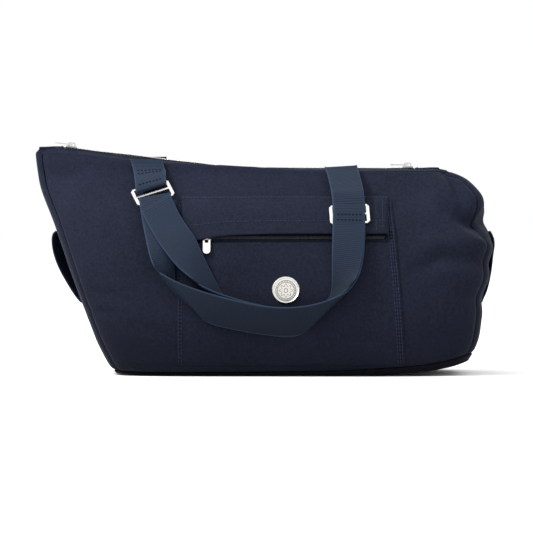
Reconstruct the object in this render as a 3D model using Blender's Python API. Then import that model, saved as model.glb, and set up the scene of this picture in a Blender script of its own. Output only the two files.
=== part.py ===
"""A soft canvas weekender bag: sewn shell, two-way main zip, front pocket, webbing handles and end grab loops.

Metres, +Z up. The bag stands on Z = 0, its front faces -Y, and X runs along its length, to the right as seen
from the front. The shell is a loft: at every height its outline is a superellipse whose ends and depth change
with height, so all the panels and everything that lies on them are read from the same few curves.
"""

import math

import bmesh
import bpy
import numpy as np
from mathutils import Matrix, Vector

MM = 0.001

# Shell: curves over height, as (height, value) in millimetres
LEFT_END = ((0, -172), (12, -182), (80, -212), (168, -243), (225, -264), (262, -268))
RIGHT_END = ((0, 216), (14, 235), (45, 249), (80, 254), (140, 263), (170, 260), (205, 252), (225, 236), (238, 206))
HALF_DEPTH = ((0, 98), (6, 106), (20, 111), (60, 115), (120, 104), (180, 76), (220, 45), (236, 33), (262, 25))
# Curves along the length
TOP_EDGE = ((-268, 256), (-215, 253), (-158, 247), (-76, 243), (-17, 240), (41, 237), (140, 236), (206, 236))
BASE_LIFT = ((-182, 2), (-120, 0), (120, 0), (180, 3), (236, 11))
BOXINESS = 5.0          # superellipse exponent of the outline
SIDE_SHARE = 0.97       # how far along the half length a front or back panel reaches, before the end panel
WALL = 2.4              # canvas and its backing
SEAM_GAP = 0.35
SEAM_SHARE = 0.0012     # half the gap between two panels, as a share of the unit outline
BASE_RIM = 10.0         # height of the seam between the base and the walls
WALL_HEIGHT = 240.0     # nominal height that turns BASE_RIM into a share of the wall
WALL_LEVELS = 11
LINING_THICK, LINING_GAP = 1.2, 1.7
BOARD_LEFT, BOARD_RIGHT, BOARD_HALF, BOARD_THICK = -146.0, 184.0, 74.0, 3.0
BOARD_LIFT = 7.2        # underside of the board above the base's underside

# Main zip
ZIP_LEFT, ZIP_LEFT_Z = -233.0, 262.5
ZIP_KINK, ZIP_KINK_Z = -35.0, 238.5
ZIP_RIGHT, ZIP_RIGHT_Z = 174.0, 238.0
MOUTH = 3.5             # half the slit between the two rows of teeth
TEETH = 2.4             # width and height of a row
TAPE_OUT = 16.0         # outer edge of a tape, from the middle line
TAPE = 1.0
FACING = 1.8            # canvas strip between a tape and the mouth's edge
FACING_ENDS = (-258.0, -236.0, -200.0, -158.0, -115.0, -76.0, ZIP_KINK, 0.0, 41.0, 90.0, 140.0, 176.0, 198.0)
TAB_LEFT, TAB_RIGHT = -262.0, 202.0     # outer ends of the zip's end tabs
SLIDER_LENGTH, SLIDER_WIDTH = 12.0, 14.0
SLIDER_PLATE, SLIDER_ROOM = 1.3, 0.5    # thickness of a slider's plates, and their clearance over the teeth
SLIDER_PARK = 7.5       # from the zip's end to the middle of its slider
PULL_LENGTH, PULL_WIDTH, PULL_THICK = 20.0, 8.5, 1.4

# Front pocket: a patch with a storm band over its zip
POCKET_LEFT, POCKET_RIGHT = -101.0, 158.0
POCKET_BOTTOM, POCKET_ZIP_Z, POCKET_TOP = 12.0, 158.0, 204.0
BAND_LEFT, BAND_RIGHT, BAND_LOW = -76.0, 143.0, 160.5
BAND_STAND_OFF = 5.6
POCKET_SLIDER_X = -67.0
POCKET_ROOT_DOWN, POCKET_ROOT_OUT = 3.1, 5.7    # the pocket pull's axis from the middle of its teeth

# Badge
BADGE_X, BADGE_Z, BADGE_R = 24.0, 98.5, 15.8

# Handles: doubled webbing
WEB, WEB_THICK = 36.0, 5.6
STRAP_STAND_OFF = 13.0  # from the shell to the middle of the doubled webbing
STRAP_ROUTE = ((87, 241), (93, 215), (97, 190), (98, 160), (97, 130), (90, 96), (68, 73), (35, 66), (0, 66),
               (-35, 75), (-65, 98), (-86, 130), (-106, 165), (-126, 203))
STRAP_SEWN_OFF = 4.5    # the same at the mouth's edge
TAB_ROUTE = ((-137, 250), (-136, 232), (-133, 216))
BUCKLE_LONG, BUCKLE_WIDE, BUCKLE_BAR = 26.0, 46.0, 2.4
RIGHT_BUCKLE = (97, 183)
LEFT_GRAB_ROUTE = ((-243.5, 160), (-252, 156), (-257, 147), (-252, 134), (-243, 118), (-232, 98), (-219, 84))
RIGHT_GRAB_TOP, RIGHT_GRAB_BOTTOM = 164, 84
GRAB_WIDTH, GRAB_THICK = 30.0, 2.4

NAVY = (0.021, 0.025, 0.046)
NAVY_WEB = (0.020, 0.031, 0.052)
LINING = (0.10, 0.10, 0.11)
NICKEL = (0.78, 0.78, 0.77)
WHITE = (0.80, 0.79, 0.75)
BOARD = (0.12, 0.11, 0.10)


# ---------------------------------------------------------------- curves

def smooth(points, at):
    """A value read from a monotone-looking cubic through the given points, held flat past both ends."""
    places = [point[0] for point in points]
    values = [point[1] for point in points]
    if at <= places[0]:
        return values[0]
    if at >= places[-1]:
        return values[-1]
    slopes = [(values[i + 1] - values[i]) / (places[i + 1] - places[i]) for i in range(len(places) - 1)]
    tangents = [slopes[0]]
    for before, after in zip(slopes, slopes[1:]):
        same_way = before * after > 0
        tangents.append(2 * before * after / (before + after) if same_way else 0.0)
    tangents.append(slopes[-1])
    i = next(i for i in range(len(slopes)) if at <= places[i + 1])
    span = places[i + 1] - places[i]
    t = (at - places[i]) / span
    return (values[i] * (1 + 2 * t) * (1 - t) ** 2 + values[i + 1] * t * t * (3 - 2 * t)
            + span * (tangents[i] * t * (1 - t) ** 2 - tangents[i + 1] * t * t * (1 - t)))


def ends_at(z):
    """Middle and half length of the outline at one height."""
    left, right = smooth(LEFT_END, z), smooth(RIGHT_END, z)
    return (left + right) / 2, (right - left) / 2


def shell_point(across, depth, rise, inset=0.0):
    """A point of the shell in mm: across and depth lie on the unit outline, rise is 0 at the base and 1 at the top."""
    z = rise * 245
    for _ in range(12):
        middle, half = ends_at(z)
        x = middle + (half - inset) * across
        lift, top = smooth(BASE_LIFT, x), smooth(TOP_EDGE, x)
        z = lift + rise * (top - lift)
    return Vector((x, (smooth(HALF_DEPTH, z) - inset) * depth, z))


def wall_y(x, z, off):
    """Y of the front wall at x and z, moved outwards by off, in mm."""
    middle, half = ends_at(z)
    share = min(abs((x - middle) / (half + off)), 0.999)
    return -(smooth(HALF_DEPTH, z) + off) * (1 - share ** BOXINESS) ** (1 / BOXINESS)


def partner(share):
    """The other coordinate of the unit outline."""
    return (1 - abs(share) ** BOXINESS) ** (1 / BOXINESS)


def top_y(x):
    """Half depth of the bag's mouth edge at x."""
    z = smooth(TOP_EDGE, x)
    return -wall_y(x, z, 0)


def spread(low, high, count):
    return [low + (high - low) * i / count for i in range(count + 1)]


def zip_z(x):
    """Height of the main zip's middle line."""
    if x < ZIP_KINK:
        return ZIP_KINK_Z + (ZIP_LEFT_Z - ZIP_KINK_Z) * (ZIP_KINK - x) / (ZIP_KINK - ZIP_LEFT)
    return ZIP_KINK_Z + (ZIP_RIGHT_Z - ZIP_KINK_Z) * (x - ZIP_KINK) / (ZIP_RIGHT - ZIP_KINK)


# ---------------------------------------------------------------- meshes

def material(name, colour, roughness, metallic=0.0):
    found = bpy.data.materials.get(name)
    if found:
        return found
    made = bpy.data.materials.new(name)
    made.use_nodes = True
    shader = made.node_tree.nodes["Principled BSDF"]
    shader.inputs["Base Color"].default_value = (*colour, 1.0)
    shader.inputs["Roughness"].default_value = roughness
    shader.inputs["Metallic"].default_value = metallic
    return made


def canvas():
    return material("canvas", NAVY, 0.9)


def webbing():
    return material("webbing", NAVY_WEB, 0.75)


def nickel():
    return material("nickel", NICKEL, 0.25, 1.0)


def add(name, points, faces, finish, pivot=None):
    """One closed body from points in mm, with its origin on the pivot, also in mm."""
    pivot = Vector(pivot or (0, 0, 0)) * MM
    mesh = bpy.data.meshes.new(name)
    mesh.from_pydata([Vector(point) * MM - pivot for point in points], [], faces)
    work = bmesh.new()
    work.from_mesh(mesh)
    bmesh.ops.recalc_face_normals(work, faces=work.faces)
    work.to_mesh(mesh)
    work.free()
    mesh.shade_smooth()
    mesh.set_sharp_from_angle(angle=math.radians(35))
    mesh.materials.append(finish)
    made = bpy.data.objects.new(name, mesh)
    made.location = pivot
    bpy.context.scene.collection.objects.link(made)
    return made


def loft(rings):
    """Points and faces of a solid through rings of equal length, with a flat cap on each end."""
    size = len(rings[0])
    points = [point for ring in rings for point in ring]
    faces = [tuple(range(size)), tuple(range(len(points) - size, len(points)))]
    for k in range(len(rings) - 1):
        for i in range(size):
            j = (i + 1) % size
            faces.append((k * size + i, k * size + j, (k + 1) * size + j, (k + 1) * size + i))
    return points, faces


def slab(outer, inner):
    """Points and faces of a sheet between two grids of the same rows and columns."""
    rows, columns = len(outer), len(outer[0])
    points = [point for grid in (outer, inner) for row in grid for point in row]
    back = rows * columns

    def at(row, column, side):
        return side * back + row * columns + column

    faces = []
    for side in (0, 1):
        for row in range(rows - 1):
            for column in range(columns - 1):
                faces.append((at(row, column, side), at(row, column + 1, side),
                              at(row + 1, column + 1, side), at(row + 1, column, side)))
    edge = ([(row, 0) for row in range(rows)] + [(rows - 1, column) for column in range(1, columns)]
            + [(row, columns - 1) for row in range(rows - 2, -1, -1)]
            + [(0, column) for column in range(columns - 2, 0, -1)])
    for (row, column), (next_row, next_column) in zip(edge, edge[1:] + edge[:1]):
        faces.append((at(row, column, 0), at(next_row, next_column, 0),
                      at(next_row, next_column, 1), at(row, column, 1)))
    return points, faces


def outline(sides, ends):
    """The unit outline as (across, depth) pairs from the middle of the right end, mirrored about the long axis."""
    corner = partner(SIDE_SHARE)
    quarter = [(partner(y), y) for y in spread(0, corner, ends)]
    quarter += [(x, partner(x)) for x in spread(SIDE_SHARE, -SIDE_SHARE, sides)[1:]]
    quarter += [(-partner(y), y) for y in spread(corner, 0, ends)[1:]]
    return quarter + [(x, -y) for x, y in quarter[-2:0:-1]]


def tub(outer, inner):
    """Points and faces of an open-topped tub: rings from the bottom up, its floors closed strip by strip."""
    size = len(outer[0])
    points = [point for rings in (outer, inner) for ring in rings for point in ring]
    faces = []
    for start, levels in ((0, len(outer)), (len(outer) * size, len(inner))):
        for k in range(levels - 1):
            for i in range(size):
                j = (i + 1) % size
                faces.append((start + k * size + i, start + k * size + j,
                              start + (k + 1) * size + j, start + (k + 1) * size + i))
        for i in range(size // 2):
            strip = dict.fromkeys((start + i, start + i + 1, start + (size - i - 1) % size, start + (size - i) % size))
            faces.append(tuple(strip))
    outer_top, inner_top = (len(outer) - 1) * size, (len(outer) + len(inner) - 1) * size
    for i in range(size):
        j = (i + 1) % size
        faces.append((outer_top + i, outer_top + j, inner_top + j, inner_top + i))
    return points, faces


def box(low, high):
    """Points and faces of a box between two corners, in mm."""
    rings = [[(x, low[1], low[2]), (x, high[1], low[2]), (x, high[1], high[2]), (x, low[1], high[2])]
             for x in (low[0], high[0])]
    return loft(rings)


def combine(piece, helper, operation):
    """Joins a helper's shape to a piece (UNION), or takes it away (DIFFERENCE). The helper moves with the piece."""
    helper.hide_render = True
    helper.display_type = "WIRE"
    helper.parent = piece
    helper.matrix_parent_inverse = Matrix.Identity(4)
    change = piece.modifiers.new("shape", "BOOLEAN")
    change.operation = operation
    change.object = helper


def mirrored(points, side):
    """Points of the front, or of the back when side is -1."""
    return [Vector((point[0], point[1] * side, point[2])) for point in points]


# ---------------------------------------------------------------- shell

def wall_panel(name, pairs, low, high, levels):
    """One sewn panel: pairs are its columns on the unit outline, low and high its share of the height."""
    rises = spread(low, high, levels)
    outer = [[shell_point(x, y, rise) for x, y in pairs] for rise in rises]
    inner = [[shell_point(x, y, rise, WALL) for x, y in pairs] for rise in rises]
    points, faces = slab(outer, inner)
    add(name, points, faces, canvas())


def shell():
    low, high = (BASE_RIM + SEAM_GAP) / WALL_HEIGHT, 1.0
    side = spread(-SIDE_SHARE + SEAM_SHARE, SIDE_SHARE - SEAM_SHARE, 22)
    corner = partner(SIDE_SHARE) - SEAM_SHARE * 3
    end = spread(-corner, corner, 6)
    wall_panel("front_panel", [(x, -partner(x)) for x in side], low, high, WALL_LEVELS)
    wall_panel("back_panel", [(x, partner(x)) for x in side], low, high, WALL_LEVELS)
    wall_panel("left_end_panel", [(-partner(y), y) for y in end], low, high, WALL_LEVELS)
    wall_panel("right_end_panel", [(partner(y), y) for y in end], low, high, WALL_LEVELS)


def base_panel():
    """A shallow tray whose rim rises to the wall seam."""
    ring = outline(22, 3)
    rises = (0.0, 0.012, BASE_RIM / WALL_HEIGHT - 0.0002)
    outer = [[shell_point(x, y, rise) for x, y in ring] for rise in rises]
    inner = [[shell_point(x, y, rise, WALL) for x, y in ring] for rise in rises]
    inner[0] = [point + Vector((0, 0, WALL)) for point in inner[0]]
    inner[1] = [point + Vector((0, 0, WALL / 2)) for point in inner[1]]
    points, faces = tub(outer, inner)
    add("base_panel", points, faces, canvas())


def base_board():
    """Stiff board that lies on the lining's floor."""
    rings = []
    for x in spread(BOARD_LEFT, BOARD_RIGHT, 8):
        low = smooth(BASE_LIFT, x) + BOARD_LIFT
        high = low + BOARD_THICK
        rings.append([(x, -BOARD_HALF, low), (x, BOARD_HALF, low), (x, BOARD_HALF, high), (x, -BOARD_HALF, high)])
    points, faces = loft(rings)
    add("base_board", points, faces, material("board", BOARD, 0.7))


def lining():
    """Thin inner bag, open at the top."""
    ring = outline(22, 3)
    rises = [0.012] + spread((BASE_RIM + SEAM_GAP) / WALL_HEIGHT, 1.0, WALL_LEVELS)[:-1]
    near = WALL + LINING_GAP
    outer = [[shell_point(x, y, rise, near) for x, y in ring] for rise in rises]
    inner = [[shell_point(x, y, rise, near + LINING_THICK) for x, y in ring] for rise in rises]
    outer[0] = [point + Vector((0, 0, 2.0)) for point in outer[0]]
    inner[0] = [point + Vector((0, 0, 2.0 + LINING_THICK)) for point in inner[0]]
    points, faces = tub(outer, inner)
    add("lining", points, faces, material("lining", LINING, 0.6))


# ---------------------------------------------------------------- main zip

def zip_strips(side, word):
    """Facing, tape and teeth row of one side; side is 1 for the front (-Y), -1 for the back."""
    rings = []
    for x in FACING_ENDS:
        middle = zip_z(min(max(x, ZIP_LEFT), ZIP_RIGHT))
        outside, top = -top_y(x) + 2 * SEAM_GAP, smooth(TOP_EDGE, x) + 3 * SEAM_GAP
        rings.append(mirrored([(x, outside, top), (x, -TAPE_OUT - SEAM_GAP, middle - 0.8),
                               (x, -TAPE_OUT - SEAM_GAP, middle + 0.8), (x, outside, top + FACING)], side))
    add(word + "_zip_facing", *loft(rings), canvas())
    places = (ZIP_LEFT, ZIP_KINK, ZIP_RIGHT)
    tape_in = -MOUTH - TEETH - SEAM_GAP
    rows = (("_zip_tape", -TAPE_OUT, tape_in, TAPE / 2, material("tape", NAVY_WEB, 0.8)),
            ("_zip_teeth", tape_in + SEAM_GAP, -MOUTH, TEETH / 2, nickel()))
    for suffix, outside, inside, half, finish in rows:
        rings = [mirrored([(x, outside, zip_z(x) - half), (x, inside, zip_z(x) - half),
                           (x, inside, zip_z(x) + half), (x, outside, zip_z(x) + half)], side) for x in places]
        add("main" + suffix + "_" + word, *loft(rings), finish)


def zip_end(name, inside, outside):
    """Folded canvas tab that closes one end of the zip, between the two facings."""
    half = TAPE_OUT - 0.2
    level = zip_z(min(max(inside, ZIP_LEFT), ZIP_RIGHT))
    rings = [[(x, -half, level - 1), (x, half, level - 1), (x, half, level + 1), (x, -half, level + 1)]
             for x in (inside, outside)]
    add(name, *loft(rings), canvas())


def slider_body(name, finish):
    """A slider at the origin: sliding along X, tape in the XY plane, pull side up. It straddles both rows."""
    half, wide, post = SLIDER_LENGTH / 2, SLIDER_WIDTH / 2, 2.2
    gap = TEETH / 2 + SLIDER_ROOM
    top, bottom = gap + SLIDER_PLATE, -gap - SLIDER_PLATE
    # I-shaped section: two plates and the post between them
    section = [(-wide, bottom), (wide, bottom), (wide, -gap), (post, -gap), (post, gap), (wide, gap),
               (wide, top), (-wide, top), (-wide, gap), (-post, gap), (-post, -gap), (-wide, -gap)]
    body = add(name, *loft([[(x, y, z) for y, z in section] for x in (-half, half)]), finish)
    # Bridge over the plate: the pull's root bar turns inside it
    arch = [(-4.2, top - 0.6), (-2.8, top - 0.6), (-2.8, top + 2.4), (2.8, top + 2.4), (2.8, top - 0.6),
            (4.2, top - 0.6), (4.2, top + 2.8), (3.2, top + 3.8), (-3.2, top + 3.8), (-4.2, top + 2.8)]
    bridge = add(name + "_bridge_form", *loft([[(x, y, z) for x, z in arch] for y in (-1.2, 1.2)]), finish)
    combine(body, bridge, "UNION")
    return body


def pull_plate(name, finish):
    """A pull with its root bar on the origin, along Y, its tongue towards +X, its underside at -0.7."""
    wide, bar, slot = PULL_WIDTH / 2, 0.7, 2.1
    reach = PULL_LENGTH - wide
    rim = [(reach + wide * math.cos(a), wide * math.sin(a)) for a in spread(-math.pi / 2, math.pi / 2, 8)]
    rim += [(-bar, wide), (-bar, -wide)]
    half = PULL_THICK / 2
    plate = add(name, *loft([[(x, y, z) for x, y in rim] for z in (-half, half)]), finish)
    window = add(name + "_window", *box((bar, -slot, -2), (bar + 5.4, slot, 2)), finish)
    combine(plate, window, "DIFFERENCE")
    return plate


def place(piece, at, along, up):
    """Turns a piece built on the origin so that its +X runs along and its +Z points up, and moves it, in mm."""
    along = Vector(along).normalized()
    up = (Vector(up) - along * along.dot(Vector(up))).normalized()
    turn = np.eye(4)
    turn[:3, 0], turn[:3, 1], turn[:3, 2] = along, up.cross(along), up
    turn[:3, 3] = Vector(at) * MM
    piece.matrix_world = Matrix(turn.tolist())


def main_sliders():
    root_up = TEETH / 2 + SLIDER_ROOM + SLIDER_PLATE + 1.2
    runs = (("left", ZIP_LEFT + SLIDER_PARK, ZIP_KINK, 1), ("right", ZIP_RIGHT - SLIDER_PARK, ZIP_KINK, -1))
    for word, x, other, way in runs:
        here, there = Vector((x, 0, zip_z(x))), Vector((other, 0, zip_z(other)))
        along = (there - here).normalized()
        up = along.cross(Vector((0, 1, 0))) * way
        slider = slider_body("main_zip_slider_" + word, nickel())
        place(slider, here, along, up)
        pull = pull_plate("main_zip_pull_" + word, nickel())
        # The left pull lies back over the zip's end, the right one towards the middle
        place(pull, here + up * root_up, -along if word == "left" else along, up)


# ---------------------------------------------------------------- front pocket

def on_front(name, columns, rows, inner, thick, finish):
    """A sheet lying on the front wall: x columns, z rows, inner and thick are its stand-off and thickness."""
    def grid(off):
        return [[Vector((x, wall_y(x, z, off), z)) for x in columns] for z in rows]
    add(name, *slab(grid(inner + thick), grid(inner)), finish)


def front_pocket():
    on_front("front_pocket_panel", spread(POCKET_LEFT, POCKET_RIGHT, 12), spread(POCKET_BOTTOM, 149.5, 7),
             0.5, 2.0, canvas())
    flat = wall_y(0, POCKET_ZIP_Z, 0)
    lean = (wall_y(0, 170, 0) - wall_y(0, 150, 0)) / 20
    out = Vector((0, -1, lean)).normalized()
    up = Vector((0, lean, 1)).normalized()
    home = Vector((POCKET_SLIDER_X, flat, POCKET_ZIP_Z))

    def strip(name, low, high, near, far, finish):
        """A straight bar along the zip: low and high run up the wall, near and far stand off it."""
        rings = []
        for x in (BAND_LEFT - 8, BAND_RIGHT + 3):
            start = Vector((x, flat, POCKET_ZIP_Z))
            rings.append([start + up * a + out * b for a, b in ((low, near), (low, far), (high, far), (high, near))])
        add(name, *loft(rings), finish)

    strip("pocket_zip_tape", -8, 10, 0.7, 1.3, material("tape", NAVY_WEB, 0.8))
    strip("pocket_zip_teeth", -2.2, 2.2, 1.6, 3.0, nickel())
    # Slider: a channel over the closed teeth
    half = SLIDER_LENGTH / 2
    section = [(-4.4, 1.6), (-2.9, 1.6), (-2.9, 3.5), (2.9, 3.5), (2.9, 1.6), (4.4, 1.6), (4.4, 4.6), (-4.4, 4.6)]
    slider = add("pocket_zip_slider", *loft([[(x, a, b) for a, b in section] for x in (-half, half)]), nickel())
    # Its bridge: a room 3 mm long and 2.2 mm high for the pull's root bar
    near, far = -POCKET_ROOT_DOWN - 1.5, -POCKET_ROOT_DOWN + 1.5
    arch = [(near - 1, 4.0), (near, 4.0), (near, 6.8), (far, 6.8), (far, 4.0), (far + 1, 4.0),
            (far + 1, 7.5), (near - 1, 7.5)]
    bridge = add("pocket_bridge_form", *loft([[(x, a, b) for a, b in arch] for x in (-1.2, 1.2)]), nickel())
    combine(slider, bridge, "UNION")
    turn = np.eye(4)
    turn[:3, 0], turn[:3, 1], turn[:3, 2], turn[:3, 3] = (1, 0, 0), up, out, home * MM
    slider.matrix_world = Matrix(turn.tolist())
    pull = pull_plate("pocket_zip_pull", nickel())
    place(pull, home - up * POCKET_ROOT_DOWN + out * POCKET_ROOT_OUT, -up, out)
    on_front("pocket_storm_band", spread(BAND_LEFT, BAND_RIGHT, 8), spread(BAND_LOW + 4, POCKET_TOP, 4),
             BAND_STAND_OFF, 2.2, canvas())


def badge():
    depth = wall_y(BADGE_X, BADGE_Z, 2.5)
    lean = (wall_y(BADGE_X, BADGE_Z + 12, 0) - wall_y(BADGE_X, BADGE_Z - 12, 0)) / 24
    out = Vector((0, -1, lean)).normalized()

    def disc(name, profile, finish):
        """Turned piece: profile is (radius, height), closed on the axis at both ends."""
        steps = 32
        points = [(0, 0, profile[0][1]), (0, 0, profile[-1][1])]
        for radius, height in profile:
            points += [(radius * math.cos(a), radius * math.sin(a), height) for a in spread(0, 2 * math.pi, steps)[:-1]]
        faces = []
        last = 2 + (len(profile) - 1) * steps
        for i in range(steps):
            j = (i + 1) % steps
            faces += [(0, 2 + i, 2 + j), (1, last + i, last + j)]
            for k in range(len(profile) - 1):
                a = 2 + k * steps
                faces.append((a + i, a + j, a + steps + j, a + steps + i))
        piece = add(name, points, faces, finish)
        place(piece, (BADGE_X, depth, BADGE_Z), (1, 0, 0), out)

    disc("badge_bezel", ((BADGE_R, 0.9), (BADGE_R, 2.4), (BADGE_R - 0.8, 3.1), (BADGE_R - 1.9, 2.6),
                         (BADGE_R - 1.9, 1.5)), nickel())
    disc("badge_face", ((BADGE_R - 2.2, 1.8), (BADGE_R - 2.2, 2.5), (BADGE_R - 6, 2.9)),
         material("enamel", WHITE, 0.3))


# ---------------------------------------------------------------- handles

def smooth_route(points, count):
    """Points at even steps along a smooth curve through the given ones."""
    dense = []
    line = [np.array(point, float) for point in points]
    line = [2 * line[0] - line[1]] + line + [2 * line[-1] - line[-2]]
    for a, b, c, d in zip(line, line[1:], line[2:], line[3:]):
        for t in spread(0, 1, 16)[:-1]:
            dense.append(0.5 * (2 * b + (c - a) * t + (2 * a - 5 * b + 4 * c - d) * t * t
                                + (3 * b - a - 3 * c + d) * t ** 3))
    dense.append(line[-2])
    lengths = np.concatenate([[0], np.cumsum([np.linalg.norm(q - p) for p, q in zip(dense, dense[1:])])])
    steps = np.linspace(0, lengths[-1], count)
    return [np.array([np.interp(s, lengths, [p[k] for p in dense]) for k in (0, 1)]) for s in steps]


def strap_y(x, z):
    """Y of the middle of the hanging webbing: close to the wall at its seam, clear of the pocket below."""
    ease = min(max((242 - z) / 32, 0), 1)
    return wall_y(x, min(z, smooth(TOP_EDGE, x)), 0) - (STRAP_SEWN_OFF + (STRAP_STAND_OFF - STRAP_SEWN_OFF) * ease)


def strap_frames(route):
    """Place, direction, width direction and outward direction at each route point."""
    places = [Vector((x, strap_y(x, z), z)) for x, z in route]
    frames = []
    for i, here in enumerate(places):
        along = (places[min(i + 1, len(places) - 1)] - places[max(i - 1, 0)]).normalized()
        flat = Vector((along.z, 0, -along.x)).normalized()
        edges = [Vector((here.x + flat.x * k, strap_y(here.x + flat.x * k, here.z + flat.z * k),
                         here.z + flat.z * k)) for k in (-8, 8)]
        width = edges[1] - edges[0]
        width = (width - along * along.dot(width)).normalized()
        outward = along.cross(width)
        if outward.y > 0:
            outward = -outward
        frames.append((here, along, width, outward.normalized()))
    return frames


def ribbon(frames, thick):
    """A flat band through the frames."""
    rings = []
    for here, _, width, outward in frames:
        rings.append([here + width * (a * WEB / 2) + outward * (b * thick / 2)
                      for a, b in ((-1, -1), (1, -1), (1, 1), (-1, 1))])
    return rings


def buckle_shape(name, finish):
    """Three-bar buckle at the origin: bars along X, webbing running along Y."""
    wide, long, bar = BUCKLE_WIDE / 2, BUCKLE_LONG / 2, BUCKLE_BAR
    chamfer = 3.0
    rim = [(-wide + chamfer, -long), (wide - chamfer, -long), (wide, -long + chamfer), (wide, long - chamfer),
           (wide - chamfer, long), (-wide + chamfer, long), (-wide, long - chamfer), (-wide, -long + chamfer)]
    frame = add(name, *loft([[(x, y, z) for x, y in rim] for z in (-bar / 2, bar / 2)]), finish)
    for index, sign in enumerate((-1, 1)):
        inner, outer = sign * bar / 2, sign * (long - bar)
        low, high = min(inner, outer), max(inner, outer)
        slot = add(f"{name}_slot_{index}", *box((-WEB / 2 - 1.4, low, -4), (WEB / 2 + 1.4, high, 4)), finish)
        combine(frame, slot, "DIFFERENCE")
    return frame


def bar_clearance(webbing_piece, matrix, offset):
    """Takes the room of one buckle bar out of a piece of webbing; matrix is the buckle's."""
    half = BUCKLE_BAR / 2 + SEAM_GAP
    cutter = add(webbing_piece.name + "_bar_room", *box((-WEB, offset - half, -half), (WEB, offset + half, half)),
                 nickel())
    combine(webbing_piece, cutter, "DIFFERENCE")
    cutter.parent = None
    cutter.matrix_world = matrix


def buckle_matrix(place_at, width, along, outward, side):
    """Matrix of a buckle whose bars run along width and whose webbing runs along along."""
    turn = np.eye(4)
    flip = Vector((1, side, 1))
    columns = [Vector([a * b for a, b in zip(v, flip)]) for v in (width, along, outward)]
    if columns[0].cross(columns[1]).dot(columns[2]) < 0:
        columns[0] = -columns[0]
    for k, column in enumerate(columns):
        turn[:3, k] = column.normalized()
    turn[:3, 3] = Vector([a * b for a, b in zip(place_at, flip)]) * MM
    return Matrix(turn.tolist())


def handle(word, side):
    """One carrying handle: sewn tab, two buckles and the doubled webbing between them."""
    frames = strap_frames(smooth_route(STRAP_ROUTE, 40))
    hinge = mirrored([frames[0][0]], side)[0]
    rings = [mirrored(ring, side) for ring in ribbon(frames, WEB_THICK)]
    strap = add(word + "_handle_strap", *loft(rings), webbing(), hinge)
    tab_frames = strap_frames(smooth_route(TAB_ROUTE, 6))
    tab_rings = [mirrored(ring, side) for ring in ribbon(tab_frames, WEB_THICK)]
    tab = add(word + "_handle_tab", *loft(tab_rings), webbing(), hinge)

    # Right buckle: on the strap, a quarter of the way down its fixed run
    right = min(frames, key=lambda frame: math.dist((frame[0].x, frame[0].z), RIGHT_BUCKLE))
    # Left buckle: between the end of the tab and the end of the strap
    left_end, tab_end = frames[-1], tab_frames[-1]
    along = (tab_end[0] - left_end[0]).normalized()
    width = (left_end[2] - along * along.dot(left_end[2])).normalized()
    centre = (left_end[0] + tab_end[0]) / 2
    left = (centre, along, width, along.cross(width))
    for name, spot in (("left", left), ("right", right)):
        matrix = buckle_matrix(spot[0], spot[2], spot[1], spot[3], side)
        shape = buckle_shape(f"{word}_buckle_{name}", nickel())
        shape.matrix_world = matrix
        offset = BUCKLE_LONG / 2 - BUCKLE_BAR / 2
        for bar in (-offset, 0.0, offset):
            for webbing_piece in (strap, tab) if name == "left" else (strap,):
                bar_clearance(webbing_piece, matrix, bar)


def grab_handle(word, route):
    """Webbing loop sewn at both ends to an end panel, bowed away from it."""
    half = GRAB_WIDTH / 2
    places = smooth_route(route, 14)
    rings = []
    for i, (x, z) in enumerate(places):
        before, after = places[max(i - 1, 0)], places[min(i + 1, len(places) - 1)]
        along = Vector((after[0] - before[0], 0, after[1] - before[1])).normalized()
        out = Vector((-along.z, 0, along.x)) * (GRAB_THICK / 2)
        here = Vector((x, 0, z))
        rings.append([here + out + Vector((0, -half, 0)), here + out + Vector((0, half, 0)),
                      here - out + Vector((0, half, 0)), here - out + Vector((0, -half, 0))])
    add(word + "_grab_handle", *loft(rings), webbing())


def main():
    for old in list(bpy.data.objects):
        bpy.data.objects.remove(old)
    shell()
    base_panel()
    base_board()
    lining()
    zip_strips(1, "front")
    zip_strips(-1, "back")
    zip_end("zip_end_tab_left", ZIP_LEFT - 0.5, TAB_LEFT)
    zip_end("zip_end_tab_right", ZIP_RIGHT + 0.5, TAB_RIGHT)
    main_sliders()
    front_pocket()
    badge()
    handle("front", 1)
    handle("back", -1)
    grab_handle("left", LEFT_GRAB_ROUTE)
    grab_handle("right", [(smooth(RIGHT_END, z) + 2.2, z) for z in spread(RIGHT_GRAB_TOP, RIGHT_GRAB_BOTTOM, 6)])


main()
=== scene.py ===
"""Looks of the weekender bag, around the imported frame: canvas shell, zips, pocket, badge and webbing handles.

Lengths are in millimetres until a mesh is made. The bag faces -Y and its length runs along X.
"""

import math

import bmesh
import bpy
import numpy as np
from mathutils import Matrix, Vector
from mathutils.bvhtree import BVHTree

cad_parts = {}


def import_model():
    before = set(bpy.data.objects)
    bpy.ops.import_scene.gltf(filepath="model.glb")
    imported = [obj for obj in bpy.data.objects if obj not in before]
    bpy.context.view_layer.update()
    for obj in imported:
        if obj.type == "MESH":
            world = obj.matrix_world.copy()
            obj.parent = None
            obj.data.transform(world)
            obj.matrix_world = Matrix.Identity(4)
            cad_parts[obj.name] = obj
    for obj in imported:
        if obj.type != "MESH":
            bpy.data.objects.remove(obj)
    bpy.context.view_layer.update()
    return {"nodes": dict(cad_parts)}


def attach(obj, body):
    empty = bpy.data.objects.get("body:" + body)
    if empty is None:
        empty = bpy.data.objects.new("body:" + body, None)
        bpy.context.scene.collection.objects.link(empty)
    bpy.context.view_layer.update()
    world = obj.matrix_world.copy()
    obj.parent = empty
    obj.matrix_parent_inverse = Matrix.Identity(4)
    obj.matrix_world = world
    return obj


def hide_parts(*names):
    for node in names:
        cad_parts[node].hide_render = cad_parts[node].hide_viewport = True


MM = 0.001
SHELL = "bag_shell"

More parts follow.
